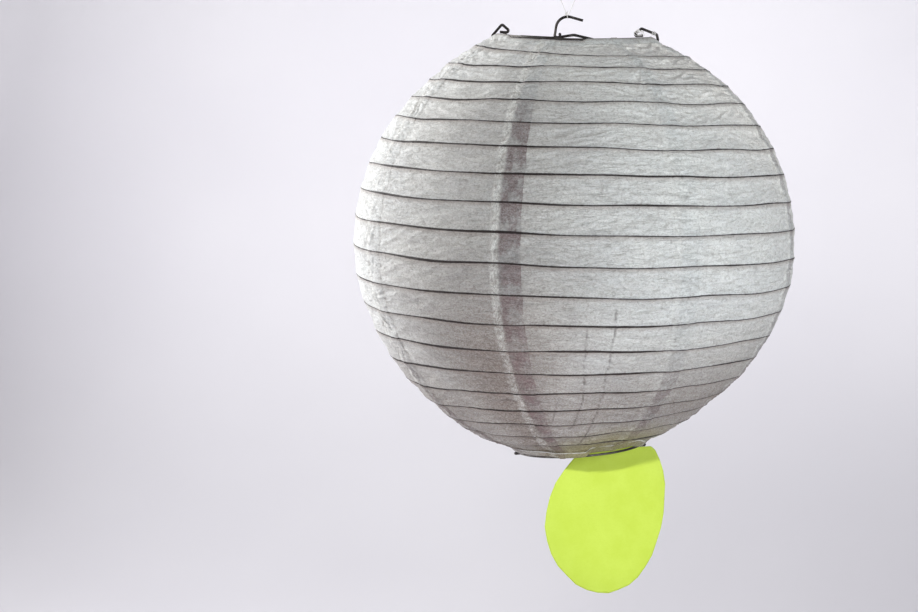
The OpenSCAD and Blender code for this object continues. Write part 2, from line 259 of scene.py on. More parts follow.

# The azimuth that the dark side of the paper faces, where it is painted darker and browner as painted shade
# with some browning, and how far its paper has come off the
# rings: up from the bottom ring at the front right and left, down from the top ring.
SHADED_AZIMUTH = -113
OFF_RIGHT, OFF_LEFT = 2.9 * MM, 1.4 * MM
SLIPPED = 1.75 * MM


def around(theta, centre):
    """theta - centre, from -180 to 180 degrees."""
    return (theta - centre + 180) % 360 - 180


def paper_shape(theta, w):
    """The paper's relief, and what its paint needs, which both layers of a lap share.

    theta is the azimuth in degrees and w the rib turn. The result is how far the paper
    stands out from its profile, how dark the painted shade along its creases is, its glue,
    its painted shade and browning, the share of the band that is above, and the distance from the nearest
    turn in millimetres."""
    angle = rib_angle(w)
    r = profile(angle)[0]
    upper_w, lower_w = rib_spots(theta, w)
    r0, z0 = profile(rib_angle(upper_w))
    r1, z1 = profile(rib_angle(lower_w))
    band = np.hypot(r1 - r0, z1 - z0)
    s = np.clip((w - upper_w) / np.maximum(lower_w - upper_w, 1e-6), 0, 1)
    held = (4 * s * (1 - s)) ** 0.6

    turn = np.radians(theta)
    east, north = MAX_R * np.cos(turn), MAX_R * np.sin(turn)
    down = np.radians(TOP_ANGLE - angle) * MAX_R
    from_seam = (theta - FIRST_SEAM) % GORE_DEG
    seam_of = np.floor((theta - FIRST_SEAM) / GORE_DEG + 0.5).astype(int) - 1
    mm_deg = np.radians(1) * r / MM
    seam_at = around(from_seam * GORES, 0) / GORES * mm_deg
    seam_mm = np.abs(seam_at)
    across = np.radians(from_seam) * r
    seam_pull = np.exp(-seam_mm / 16)

    def stretched(long, short, tilt=0.0, shift=0.0):
        """Noise coordinates: long along the bands, short down them, and tilted if wanted."""
        slope = tilt * (across - np.radians(GORE_DEG / 2) * r) * np.clip(seam_mm / 8, 0, 1)
        return east / long + shift, north / long - shift, (down + slope) / short + shift

    patch = smooth(-0.25, 0.45, noise(east / 0.045, north / 0.045, down / 0.03))
    slack = 1 + 0.5 * noise(east / 0.05 + 7, north / 0.05, down / 0.02)
    sag = -SAG_SHARE * band * slack * (4 * s * (1 - s)) ** 0.85

    fine = ridged(*stretched(24 * MM, 2.6 * MM)) - RIDGE_LEVEL
    folds = ridged(*stretched(40 * MM, 6.6 * MM, 0.30, 3.1)) - RIDGE_LEVEL
    folds_back = ridged(*stretched(36 * MM, 7.4 * MM, -0.34, 9.7)) - RIDGE_LEVEL
    crumple = noise(*stretched(4.8 * MM, 3.8 * MM, 0.0, 5.3))
    swell = noise(*stretched(30 * MM, 12 * MM, 0.0, 1.7))
    wrinkle = (
        0.36 * (0.35 + 0.5 * patch + 1.2 * seam_pull) * fine
        + 0.85 * (0.25 + patch) * folds
        + 0.72 * (1.15 - patch) * folds_back
        + 0.24 * (0.25 + 1.7 * seam_pull) * crumple
        + 0.80 * swell
    ) * MM * held

    ragged = seam_at + 1.1 * noise(down / 0.004, east / 0.05, north / 0.05)
    glue = window(ragged, -6.6, -5.2, -1.4, -0.2) * np.array(GLUE_CRINKLE)[seam_of % GORES]
    glue_crinkle = ridged(east / 0.0034, north / 0.0034, down / 0.0030) - RIDGE_LEVEL
    wrinkle += glue * (0.75 * glue_crinkle + 0.15) * MM * (0.2 + 0.8 * held)

    # dark is how strongly each crease's line is painted darker, as painted shade in the crease.
    dark = np.zeros(theta.shape)
    groove = np.zeros(theta.shape)
    for azimuths, turns, depth in CREASES:
        jog = 0.35 * noise(w * 2.3 + azimuths[0], 0.5, 0.2) + 0.15 * noise(w * 7 + azimuths[0], 0.1, 0.7)
        course = np.interp(w, turns, azimuths) + jog
        off = around(theta, course) * mm_deg
        there = window(w, turns[0] - 0.1, turns[0] + 0.2, turns[-1] - 0.2, turns[-1] + 0.1)
        line = np.exp(-((off / 0.4) ** 2)) * there
        groove += depth * MM * (0.8 * np.exp(-(((off - 0.9) / 0.6) ** 2)) * there - line)
        dark = np.maximum(dark, line * depth / 0.6 * (0.6 + 0.4 * noise(w * 4, azimuths[0], 0.3)))
    wrinkle += groove * np.clip(s * (1 - s) * 12, 0, 1)

    # How much thinner the dark line over each turn is drawn: random, and more so away from the shaded front
    # left, since that line is partly painted shade.
    thin = np.clip(0.30 + 0.55 * noise(2.3 * np.cos(turn), 2.3 * np.sin(turn), w * 0.45 + 0.2), 0, 0.62)
    thin = thin + 0.35 * smooth(28, 60, np.abs(around(theta, SHADED_AZIMUTH + 1)))
    rib_mm = np.minimum(s, 1 - s) * band / MM + np.minimum(thin, 0.55)
    # Painted shade with some browning: darker and browner paint on the front left and towards the bottom.
    front_left = np.exp(-((around(theta, SHADED_AZIMUTH) / 30) ** 2)) * smooth(1, 5, w)
    shade_and_browning = np.maximum(front_left * (0.36 + 0.6 * smooth(8, 14, w)), 0.78 * smooth(10.5, 16.5, w))
    return CREST + sag + wrinkle, dark, glue, shade_and_browning, s, rib_mm


def settle(theta, r, z, w):
    """Points of the shade, moved as its bowed top ring and its tilted bottom ring pull it."""
    turn = np.radians(theta)
    x, y = r * np.cos(turn), r * np.sin(turn)
    low = smooth(9.0, W_BOTTOM, w)
    high = 1 - smooth(W_TOP, W_TOP + 2.5, w)
    free = window(w, W_TOP, W_TOP + 1.5, W_BOTTOM - 1.5, W_BOTTOM)
    dip = 1.3 * MM * noise(2.6 * np.cos(turn), 2.6 * np.sin(turn), w * 0.6)
    z = z + math.tan(BOTTOM_TILT) * x * low + top_ring_rise(turn) * high + dip * free
    return np.stack([AXIS_X + x + BOTTOM_SHIFT * low, y, z], axis=-1)


def top_ring_rise(turn):
    """How far the bowed and tilted top ring stands above TOP_Z."""
    return TOP_BOW * np.cos(2 * turn) - TOP_R * math.tan(TOP_TILT) * np.cos(turn)


def come_off(theta):
    """How far the paper's lower end has come up off the bottom ring, on two stretches."""
    azimuth = around(theta, 0)
    right, left = window(azimuth, -86, -80, -40, -22), window(azimuth, -178, -160, -122, -104)
    return OFF_RIGHT * right + OFF_LEFT * left


def slip_down(theta):
    """How far the paper's upper end has slipped down below the top ring, at the front left."""
    return SLIPPED * window(around(theta, 0), -146, -138, -86, -80)


def place(theta, w, off, lift=0.0):
    """Points of the paper, in the frame. off is its relief, and lift raises a lap."""
    angle = rib_angle(w)
    r, z = profile(angle)
    nr, nz = profile_normal(angle)
    hem = np.maximum(1 - smooth(0.0, 0.22, w - W_TOP), 1 - smooth(0.0, 0.22, W_BOTTOM - w))
    off = off * (1 - hem) + (RING_R + OVER_RING) * hem + lift
    up = come_off(theta) * smooth(W_BOTTOM - 1.0, W_BOTTOM, w)
    down = slip_down(theta) * (1 - smooth(W_TOP, W_TOP + 0.35, w))
    return settle(theta, r + off * nr + 0.5 * up + 0.6 * down, z + off * nz + up - down, w)


# ---- Mesh helpers ----


def make_mesh(name, points, faces, material, body):
    """A smooth-shaded piece that rides on a CAD body."""
    mesh = bpy.data.meshes.new(name)
    mesh.from_pydata([tuple(p) for p in points], [], [tuple(f) for f in faces])
    mesh.polygons.foreach_set("use_smooth", [True] * len(mesh.polygons))
    mesh.materials.append(material)
    mesh.update()
    piece = bpy.data.objects.new(name, mesh)
    bpy.context.scene.collection.objects.link(piece)
    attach(piece, body)
    return piece


def grid_faces(rows, cols, wrap=False):
    """Quads of a grid of points, stored row by row. wrap closes each row on itself."""
    i, j = np.meshgrid(np.arange(rows - 1), np.arange(cols if wrap else cols - 1), indexing="ij")
    k = (j + 1) % cols
    return np.stack([i * cols + j, i * cols + k, (i + 1) * cols + k, (i + 1) * cols + j], -1).reshape(-1, 4)


def tube(path, radius, sides):
    """Points and faces of a round tube along path, with capped ends."""
    path = np.asarray(path, float)
    along = np.vstack([path[1:], path[-1:]]) - np.vstack([path[:1], path[:-1]])
    along /= np.linalg.norm(along, axis=1, keepdims=True)
    side = np.cross(along[0], (0.0, 1.0, 0.0) if abs(along[0][1]) < 0.8 else (1.0, 0.0, 0.0))
    rings = []
    for direction, centre in zip(along, path):
        side = side - direction * side.dot(direction)
        side /= np.linalg.norm(side)
        other = np.cross(direction, side)
        turn = np.linspace(0, 2 * np.pi, sides, endpoint=False)[:, None]
        rings.append(centre + radius * (np.cos(turn) * side + np.sin(turn) * other))
    points = np.vstack(rings)
    faces = [tuple(f) for f in grid_faces(len(path), sides, wrap=True)]
    faces.append(tuple(range(sides - 1, -1, -1)))
    faces.append(tuple(range(len(points) - sides, len(points))))
    return points, faces


def smooth_path(points, steps):
    """A Catmull-Rom curve through points, with steps to each stretch."""
    p = np.asarray(points, float)
    p = np.vstack([2 * p[0] - p[1], p, 2 * p[-1] - p[-2]])
    out = []
    for a, b, c, d in zip(p[:-3], p[1:-2], p[2:-1], p[3:]):
        for t in np.arange(steps) / steps:
            square = (2 * a - 5 * b + 4 * c - d) * t**2
            cube = (3 * b - a - 3 * c + d) * t**3
            out.append(0.5 * (2 * b + (c - a) * t + square + cube))
    out.append(p[-2])
    return np.array(out)


# ---- Materials ----


class Nodes:
    """A material's node tree, with short calls for the nodes that the materials share."""

    def __init__(self, name):
        self.material = bpy.data.materials.new(name)
        self.material.use_nodes = True
        self.tree = self.material.node_tree
        self.tree.nodes.clear()
        self.out = self.tree.nodes.new("ShaderNodeOutputMaterial")

    def link(self, source, target):
        if isinstance(source, (int, float, tuple, list)):
            target.default_value = source
        else:
            self.tree.links.new(source, target)

    def add(self, kind, inputs=None, **settings):
        node = self.tree.nodes.new("ShaderNode" + kind)
        for key, value in settings.items():
            setattr(node, key, value)
        for key, value in (inputs or {}).items():
            self.link(value, node.inputs[key])
        return node

    def math(self, operation, a, b=0.0, clamp=False):
        return self.add("Math", {0: a, 1: b}, operation=operation, use_clamp=clamp).outputs[0]

    def remap(self, value, low, high, to_low=0.0, to_high=1.0):
        inputs = {"Value": value, "From Min": low, "From Max": high, "To Min": to_low, "To Max": to_high}
        return self.add("MapRange", inputs, interpolation_type="SMOOTHSTEP").outputs["Result"]

    def mix(self, factor, a, b, blend="MIX"):
        node = self.add("Mix", data_type="RGBA", blend_type=blend)
        self.link(factor, node.inputs[0])
        self.link(a, node.inputs[6])
        self.link(b, node.inputs[7])
        return node.outputs[2]

    def coords(self, scale=(1, 1, 1), rotation=(0, 0, 0)):
        source = self.add("TexCoord").outputs["Object"]
        return self.add("Mapping", {"Vector": source, "Scale": scale, "Rotation": rotation}).outputs[0]

    def noise(self, vector, scale, detail=4.0, rough=0.55, distortion=0.0):
        inputs = {"Vector": vector, "Scale": scale, "Detail": detail, "Roughness": rough}
        return self.add("TexNoise", {**inputs, "Distortion": distortion}).outputs["Fac"]

    def bump(self, height, distance, strength=1.0, normal=None):
        inputs = {"Height": height, "Distance": distance, "Strength": strength}
        if normal is not None:
            inputs["Normal"] = normal
        return self.add("Bump", inputs).outputs[0]


def rgb(r, g, b):
    """An sRGB colour of 0 to 255 as linear light, with alpha."""
    return tuple(((c / 255 + 0.055) / 1.055) ** 2.4 for c in (r, g, b)) + (1.0,)


def paper_material(name, banded):
    """Thin off-white tissue: fibres, crinkle and light coming through.

    The banded one also reads the gores' paint and their place between two turns, for the painted shade and
    light on the laps, the glue, the painted shade along the creases, the painted shade and browning, the
    painted shade under each turn and the tag's bounced light painted near it, and for the wire that shows
    through as dark lines, with painted shade along them."""
    n = Nodes(name)
    still = n.coords()
    fibres = n.noise(n.coords((1, 1, 1.6)), 850, 4, 0.75, 0.5)
    streaks = n.noise(n.coords((1, 1, 7)), 120, 7, 0.85, 0.5)
    cloud = n.noise(still, 22, 4, 0.6)
    crinkle = n.noise(n.coords((1, 1, 5.0)), 95, 5, 0.6, 0.5)
    crease_and_highlight = n.math("ABSOLUTE", n.math("SUBTRACT", n.noise(n.coords((1, 1, 3.2)), 75, 4, 0.6, 1.2), 0.5))
    crease_and_highlight = n.remap(crease_and_highlight, 0.05, 0.0)
    pores = n.noise(still, 1500, 2, 0.5)
    clots = n.noise(n.coords((1, 1, 1.3)), 430, 3, 0.7, 0.8)
    lit = n.mix(n.remap(cloud, 0.35, 0.7), rgb(224, 228, 231), rgb(238, 240, 240))
    lit = n.mix(n.remap(fibres, 0.44, 0.66, 0.0, 0.55), lit, rgb(186, 187, 186))
    lit = n.mix(n.remap(streaks, 0.5, 0.66, 0.0, 0.6), lit, rgb(172, 170, 167))
    # The crease lines are painted nearly white, as a painted highlight on their ridges.
    lit = n.mix(n.math("MULTIPLY", crease_and_highlight, 0.6), lit, rgb(250, 252, 252))
    lit = n.mix(n.remap(clots, 0.5, 0.68, 0.0, 0.45), lit, rgb(168, 166, 163))
    lit = n.mix(n.remap(clots, 0.45, 0.3, 0.0, 0.5), lit, rgb(250, 252, 251))
    through = n.mix(n.remap(cloud, 0.3, 0.7), rgb(232, 222, 212), rgb(241, 236, 228))
    through = n.mix(n.remap(clots, 0.5, 0.66, 0.0, 0.55), through, rgb(160, 142, 130))
    through = n.mix(n.remap(fibres, 0.4, 0.64, 0.0, 0.5), through, rgb(186, 172, 160))
    through = n.mix(n.remap(streaks, 0.5, 0.68, 0.0, 0.4), through, rgb(176, 160, 148))
    if banded:
        paint = n.add("Attribute", attribute_name="paint", attribute_type="GEOMETRY")
        split = n.add("SeparateColor", {"Color": paint.outputs["Color"]})
        folds, lap, glue = split.outputs[0], split.outputs[1], split.outputs[2]
        shade_and_browning = paint.outputs["Alpha"]
        band = n.add("UVMap", uv_map="band").outputs[0]
        band = n.add("SeparateXYZ", {"Vector": band})
        rib_mm, down_band = n.math("MULTIPLY", band.outputs[0], BAND_UV_MM), band.outputs[1]
        wobble = n.math("MULTIPLY", n.math("SUBTRACT", n.noise(still, 260, 3), 0.5), 0.4)
        rib_mm = n.math("ADD", rib_mm, wobble)
        # The dark line over each turn: the wire showing through the paper, with painted shade along it.
        wire = n.remap(rib_mm, 0.66, 1.12, 1.0, 0.0)
        # Painted shade just under each turn of the rib, over the top of each band.
        shade = n.remap(rib_mm, 0.4, 5.0, 1.0, 0.0)
        painted_shade_under_rib = n.math("MULTIPLY", shade, n.remap(down_band, 0.45, 0.0))
        # Painted shade with some browning, on the front left and towards the bottom of the paper.
        fibrous_shade_and_browning = n.math("MULTIPLY", shade_and_browning, n.remap(fibres, 0.35, 0.65, 0.75, 1.0))
        lit = n.mix(n.math("MULTIPLY", fibrous_shade_and_browning, 0.92), lit, rgb(84, 62, 50))
        through = n.mix(n.math("MULTIPLY", fibrous_shade_and_browning, 0.75), through, rgb(104, 72, 54))
        lit = n.mix(n.math("MULTIPLY", painted_shade_under_rib, 0.6), lit, rgb(140, 124, 118))
        # Laps whose paint is below 0 are painted lighter, as painted light on the double sheet.
        lap_painted_lighter = n.math("MULTIPLY", lap, -1.0, clamp=True)
        lit = n.mix(lap_painted_lighter, lit, rgb(250, 251, 250))
        through = n.mix(lap_painted_lighter, through, rgb(255, 255, 253))
        # Painted light: the tag's yellow-green light, bounced onto the paper near it, is painted into the
        # paper's colour.
        from_tag = n.add("VectorMath", {0: still, 1: TAG_BOUNCE_SPOT}, operation="DISTANCE")
        painted_tag_bounce = n.remap(from_tag.outputs["Value"], *TAG_BOUNCE_REACH, 0.75, 0.0)
        lit = n.mix(painted_tag_bounce, lit, rgb(226, 224, 130), "MULTIPLY")
        # The laps' blotches are painted darker, as painted shade of the double sheet against the light
        # behind it.
        lap = n.math("MULTIPLY", lap, 1.0, clamp=True)
        lap_painted_shade = n.math("MULTIPLY", lap, n.remap(fibres, 0.35, 0.65, 0.5, 1.0))
        lit = n.mix(n.math("MULTIPLY", lap_painted_shade, 0.85), lit, rgb(132, 110, 110))
        through = n.mix(n.math("MULTIPLY", lap_painted_shade, 0.9), through, rgb(110, 84, 80))
        glue = n.math("MULTIPLY", glue, n.remap(shade_and_browning, 0.3, 1.0, 1.0, 0.45))
        flecks = n.noise(n.coords((1, 1, 0.45)), 190, 3, 0.7, 2.4)
        flecks = n.math("ABSOLUTE", n.math("SUBTRACT", flecks, 0.5))
        net = n.remap(flecks, 0.06, 0.0, 0.15, 1.0)
        lit = n.mix(n.math("MULTIPLY", glue, net), lit, rgb(250, 251, 248))
        gaps = n.remap(flecks, 0.08, 0.18, 0.0, 0.6)
        lit = n.mix(n.math("MULTIPLY", glue, gaps), lit, rgb(140, 130, 126))
        # Painted shade along the long creases, read from the paint's first channel.
        lit = n.mix(n.math("MULTIPLY", folds, 0.85), lit, rgb(84, 72, 70))
        through = n.mix(n.math("MULTIPLY", folds, 0.8), through, rgb(70, 60, 56))
        lit = n.mix(n.math("MULTIPLY", wire, 0.95), lit, rgb(44, 34, 34))
        through = n.mix(n.math("MULTIPLY", wire, 0.95), through, rgb(24, 18, 18))
    normal = n.bump(crinkle, 1.1 * MM, 0.85)
    normal = n.bump(streaks, 0.35 * MM, 0.7, normal)
    normal = n.bump(crease_and_highlight, 0.30 * MM, 0.9, normal)
    normal = n.bump(fibres, 0.10 * MM, 0.7, normal)
    normal = n.bump(pores, 0.02 * MM, 0.4, normal)
    rough = n.remap(fibres, 0.3, 0.7, 0.62, 0.8)
    front = n.add("BsdfPrincipled", {"Base Color": lit, "Roughness": rough, "Normal": normal})
    front.inputs["Specular IOR Level"].default_value = 0.28
    back = n.add("BsdfTranslucent", {"Color": through, "Normal": normal})
    both = n.add("MixShader", {0: PAPER_THROUGH, 1: front.outputs[0], 2: back.outputs[0]})
    n.link(both.outputs[0], n.out.inputs["Surface"])
    return n.material


def wire_material(name, dark, worn, rough, wear):
    """Drawn steel wire: a fine grain, dull oxide in patches, and bare metal where it is rubbed."""
    n = Nodes(name)
    still = n.coords()
    grain = n.noise(still, 900, 5, 0.65)
    patches = n.noise(still, 140, 4, 0.6)
    edge = n.remap(n.add("NewGeometry").outputs["Pointiness"], 0.5, 0.6)
    rub = n.math("MULTIPLY", n.remap(patches, 0.5, 0.72), wear, clamp=True)
    rub = n.math("MAXIMUM", rub, n.math("MULTIPLY", edge, 0.3))
    colour = n.mix(n.remap(grain, 0.3, 0.7), dark, tuple(0.62 * c for c in dark[:3]) + (1.0,))
    colour = n.mix(rub, colour, worn)
    normal = n.bump(grain, 0.04 * MM, 0.5)
    body = n.add("BsdfPrincipled", {"Base Color": colour, "Normal": normal})
    body.inputs["Metallic"].default_value = 0.75
    n.link(n.remap(patches, 0.3, 0.7, rough, rough + 0.22), body.inputs["Roughness"])
    n.link(body.outputs[0], n.out.inputs["Surface"])
    return n.material


def thread_material():
    """Pale spun sewing thread, with its twist in the bump."""
    n = Nodes("thread")
    still = n.coords()
    fuzz = n.noise(still, 2600, 3, 0.6)
    slanted = n.coords((1, 1, 1), (0.4, 0.7, 0))
    twist = n.add("TexWave", {"Vector": slanted, "Scale": 900.0, "Distortion": 1.5})
    colour = n.mix(n.remap(fuzz, 0.35, 0.7), rgb(236, 232, 230), rgb(196, 190, 190))
    normal = n.bump(twist.outputs["Fac"], 0.06 * MM, 0.7)
    body = n.add("BsdfPrincipled", {"Base Color": colour, "Normal": normal})
    body.inputs["Roughness"].default_value = 0.7
    body.inputs["Sheen Weight"].default_value = 0.25
    n.link(body.outputs[0], n.out.inputs["Surface"])
    return n.material


def tag_material():
    """Fluorescent yellow-green paper: faint mottle and fibres, and a weak painted glow of its own that
    stands in for its fluorescence.
    """
    n = Nodes("tag_card")
    still = n.coords()
    mottle = n.noise(still, 60, 5, 0.6)
    fibres = n.noise(n.coords((1, 1, 2.0), (0, 0.5, 0)), 700, 5, 0.7, 0.8)
    colour = n.mix(n.remap(mottle, 0.3, 0.7), rgb(160, 178, 60), rgb(166, 184, 70))
    colour = n.mix(n.remap(fibres, 0.45, 0.68, 0.0, 0.4), colour, rgb(155, 172, 56))
    normal = n.bump(fibres, 0.05 * MM, 0.5)
    normal = n.bump(mottle, 0.25 * MM, 0.35, normal)
    front = n.add("BsdfPrincipled", {"Base Color": colour, "Normal": normal, "Emission Color": colour})
    front.inputs["Roughness"].default_value = 0.72
    front.inputs["Specular IOR Level"].default_value = 0.25
    # A painted glow: the card gives off a little light of its own.
    front.inputs["Emission Strength"].default_value = 0.09
    back = n.add("BsdfTranslucent", {"Color": colour, "Normal": normal})
    both = n.add("MixShader", {0: TAG_THROUGH, 1: front.outputs[0], 2: back.outputs[0]})
    n.link(both.outputs[0], n.out.inputs["Surface"])
    return n.material


# The shares of light that the paper and the tag let through, the spot of paper where the tag's light
# bouncing onto it is painted as a yellow-green tint and how far that reaches, and the millimetres of paper
# that one unit of UV stands for.
PAPER_THROUGH, TAG_THROUGH = 0.38, 0.18
TAG_BOUNCE_SPOT = (AXIS_X + 22 * MM, -40 * MM, BOTTOM_Z + 6 * MM)
TAG_BOUNCE_REACH = (15 * MM, 55 * MM)
BAND_UV_MM = 10.0
PAPER = paper_material("paper", banded=True)
HEM_PAPER = paper_material("paper_hem", banded=False)
OXIDE, RUBBED_OXIDE = (0.030, 0.024, 0.024, 1), (0.22, 0.20, 0.19, 1)
DRAWN, RUBBED_DRAWN = (0.055, 0.047, 0.043, 1), (0.28, 0.26, 0.24, 1)
DARK_WIRE = wire_material("dark_wire", OXIDE, RUBBED_OXIDE, 0.42, 0.5)
RIB_WIRE = wire_material("rib_wire", DRAWN, RUBBED_DRAWN, 0.38, 0.35)
THREAD = thread_material()
TAG_CARD = tag_material()

# ---- Paper gores ----

ROWS_PER_TURN, LEAST_ROWS = 28, 6
COLUMN_DEG = 0.45
FINE_FROM, FINE_TO, FINE_DEG = -103, -77, 0.13
LAP_LIFT = 0.4 * MM
LEAST_BAND = 0.05


def band_edges(theta):
    """The turns where the bands of paper begin and end, down each column of a gore."""
    base = (theta + 90) / 360
    first = math.floor(W_TOP - base.min()) + 1
    last = math.ceil(W_BOTTOM - base.max()) - 1
    edges = [np.full(theta.shape, W_TOP)]
    for k in range(first, last + 1):
        edges.append(np.clip(k + base, W_TOP + LEAST_BAND, W_BOTTOM - LEAST_BAND))
    edges.append(np.full(theta.shape, W_BOTTOM))
    return edges


def gore_columns(start):
    """Degrees from the seam of each column of points: closer where the long creases run."""
    phi = [0.0]
    while phi[-1] < GORE_WIDE:
        creased = FINE_FROM < start + phi[-1] < FINE_TO
        phi.append(min(GORE_WIDE, phi[-1] + (FINE_DEG if creased else COLUMN_DEG)))
    return np.array(phi)


def lap_paint(index, phi, w, s):
    """How dark the lap is painted, in blotches, over the last degrees of a gore: painted shade of the
    double sheet, and below 0 painted light.
    """
    on_lap = smooth(GORE_DEG - 0.25, GORE_DEG + 0.25, phi)
    blotch = noise(phi * 0.5, w * 2.2, index * 2.2) + 0.5 * noise(phi * 1.7, w * 6.5, index * 1.1)
    blotch = smooth(-0.5, 0.45, blotch + 0.35 - 0.8 * smooth(0.35, 0.95, s))
    lap = on_lap * LAP_SHADE[index - 1] * (0.25 + 0.75 * blotch) * smooth(3.2, 5.6, w)
    return np.maximum(lap, smooth(12.5, 16, w) * 0.65 * blotch * on_lap)


def paper_gore(index):
    """One gore, from its seam to the torn edge of its lap over the next gore."""
    start = (FIRST_SEAM + (index - 1) * GORE_DEG + 90) % 360 - 90
    phi = gore_columns(start)
    edges = band_edges(start + phi)
    w, s_row = [], []
    for upper, lower in zip(edges[:-1], edges[1:]):
        rows = max(LEAST_ROWS, round(ROWS_PER_TURN * float((lower - upper).max())))
        for row in range(rows):
            w.append(upper + (lower - upper) * row / rows)
            s_row.append((row / rows, (row + 1) / rows))
    w.append(edges[-1])
    w = np.array(w)
    ragged = 0.35 * noise(w * 2.1, index * 3.7, 0.5) + 0.12 * noise(w * 11, index * 1.3, 2.5)
    phi = phi + ragged * smooth(GORE_DEG + 1.5, GORE_WIDE, phi)
    theta = start + phi
    off, dark, glue, shade_and_browning, s, rib_mm = paper_shape(theta, w)
    lift = LAP_LIFT * smooth(GORE_DEG - 0.7, GORE_DEG - 0.1, phi)
    lift *= 1 - 0.55 * smooth(GORE_WIDE - 1.2, GORE_WIDE, phi)
    points = place(theta, w, off, lift)
    rows, cols = w.shape
    faces = grid_faces(rows, cols)[:, ::-1]
    name = f"gore_{index}_paper"
    piece = make_mesh(name, points.reshape(-1, 3), faces, PAPER, "lantern")
    mesh = piece.data
    # The paint's four channels: painted shade along the creases, the laps' painted shade and light, the
    # glue, and painted shade with browning.
    paint = np.stack([dark, lap_paint(index, phi, w, s), glue, shade_and_browning], -1).reshape(-1)
    colours = mesh.color_attributes.new("paint", "FLOAT_COLOR", "POINT")
    colours.data.foreach_set("color", paint.astype(np.float32))
    vertex = np.zeros(len(mesh.loops), int)
    mesh.loops.foreach_get("vertex_index", vertex)
    loop_row = np.repeat(np.repeat(np.arange(rows - 1), cols - 1), 4)
    s_row = np.array(s_row)
    lower_side = (vertex // cols) > loop_row
    s_loop = np.where(lower_side, s_row[loop_row, 1], s_row[loop_row, 0])
    band = np.stack([(rib_mm / BAND_UV_MM).reshape(-1)[vertex], s_loop], -1)
    mesh.uv_layers.new(name="band").data.foreach_set("uv", band.astype(np.float32).reshape(-1))
    area = sum(p.area for p in mesh.polygons)
    return piece, area


def squashed(piece):
    """Gives a piece its own copy of its mesh."""
    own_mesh(piece)


for index in range(1, GORES + 1):
    gore, area = paper_gore(index)
    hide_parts(f"paper_gore_{index}")
    squashed(gore)

# ---- Hems: the paper's ends folded round the two rings ----

HEM_TURN = 175
HEM_TAIL = 7.5 * MM


def hem_section(angle, sign):
    """Across the hem: from the end of the gores round the wire, and a torn tail inside."""
    nr, nz = (float(v) for v in profile_normal(np.array(angle)))
    start = math.degrees(math.atan2(nz, nr))
    around_wire = RING_R + OVER_RING
    turns = [math.radians(start + sign * a) for a in np.linspace(0, HEM_TURN, 15)]
    section = [(around_wire * math.cos(a), around_wire * math.sin(a)) for a in turns]
    tail = section[-1]
    for step in np.linspace(0.6 * MM, HEM_TAIL, 10):
        section.append((tail[0] + sign * nz * step, tail[1] - sign * nr * step))
    return section


def hem(name, section, on_ring, body):
    """A strip of paper folded round a ring's wire. on_ring places a point of its section."""
    theta = np.linspace(0, 360, 540, endpoint=False)
    turn = np.radians(theta)
    rows = []
    for k, (dr, dz) in enumerate(section):
        free = float(smooth(1, 6, np.array(float(k))))
        rough = 0.22 * noise(np.cos(turn) * 14, np.sin(turn) * 14, k * 0.35)
        rough = (rough + 0.12 * noise(np.cos(turn) * 45, np.sin(turn) * 45, k * 0.6)) * free * MM
        rows.append(on_ring(theta, dr + rough, dz + 0.6 * rough))
    points = np.array(rows)
    faces = grid_faces(len(section), len(theta), wrap=True)
    return make_mesh(name, points.reshape(-1, 3), faces, HEM_PAPER, body)


def on_top_ring(theta, dr, dz):
    """Points of the top hem, dr and dz from the ring's wire."""
    turn = np.radians(theta)
    down = slip_down(theta)
    r, dz = TOP_R + dr + 0.6 * down, dz - down
    return np.stack([AXIS_X + r * np.cos(turn), r * np.sin(turn), TOP_Z + top_ring_rise(turn) + dz], -1)


def on_bottom_ring(theta, dr, dz):
    """Points of the bottom hem, dr and dz from the tilted ring's wire."""
    turn = np.radians(theta)
    up = come_off(theta)
    r, z = BOTTOM_R + dr + 0.5 * up, dz + up
    x, y = r * np.cos(turn), r * np.sin(turn)
    c, s = math.cos(BOTTOM_TILT), math.sin(BOTTOM_TILT)
    return np.stack([AXIS_X + BOTTOM_SHIFT + x * c - z * s, y, BOTTOM_Z + x * s + z * c], -1)


for name, ring_r, section, on_ring, body in (
    ("top_hem_paper", TOP_R, hem_section(TOP_ANGLE, 1), on_top_ring, "lantern"),
    ("bottom_hem_paper", BOTTOM_R, hem_section(BOTTOM_ANGLE, -1), on_bottom_ring, "lower_ring"),
):
    strip = hem(name, section, on_ring, body)

# ---- Spiral rib ----

RIB_STEPS = 110
UNDER_PAPER = 0.12 * MM
RIB_IN = CREST - UNDER_PAPER - RIB_WIRE_R
RIB_SHORT = 0.02


def rib_wire():
    """The spiral: RIB_STEPS points to a turn, just inside the paper's crests."""
    steps = int((W_BOTTOM - W_TOP) * RIB_STEPS)
    w = np.linspace(W_TOP + RIB_SHORT, W_BOTTOM - RIB_SHORT, steps)
    theta = 360 * w - 90
    angle = rib_angle(w)
    r, z = profile(angle)
    nr, nz = profile_normal(angle)
    r, z = r + RIB_IN * nr, z + RIB_IN * nz
    points, faces = tube(settle(theta, r, z, w), RIB_WIRE_R, 8)
    piece = make_mesh("rib_wire", points, faces, RIB_WIRE, "lantern")
    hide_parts("spiral_rib")
    squashed(piece)


rib_wire()

# ---- Wires kept from the CAD model ----


def recolour(node, material):
    """Gives a kept CAD node its material, in every slot that it has."""
    ob = frame["nodes"][node]
    for k in range(max(1, len(ob.material_slots))):
        if not ob.material_slots:
            ob.data.materials.append(material)
        ob.material_slots[k].link = "OBJECT"
        ob.material_slots[k].material = material


for node in ("hook_wire", "tie_wire", "expander_frame"):
    recolour(node, DARK_WIRE)
for node in ("top_ring", "bottom_ring"):
    recolour(node, RIB_WIRE)

# ---- Thread loop, its knot, and the binding on the right ring hook ----

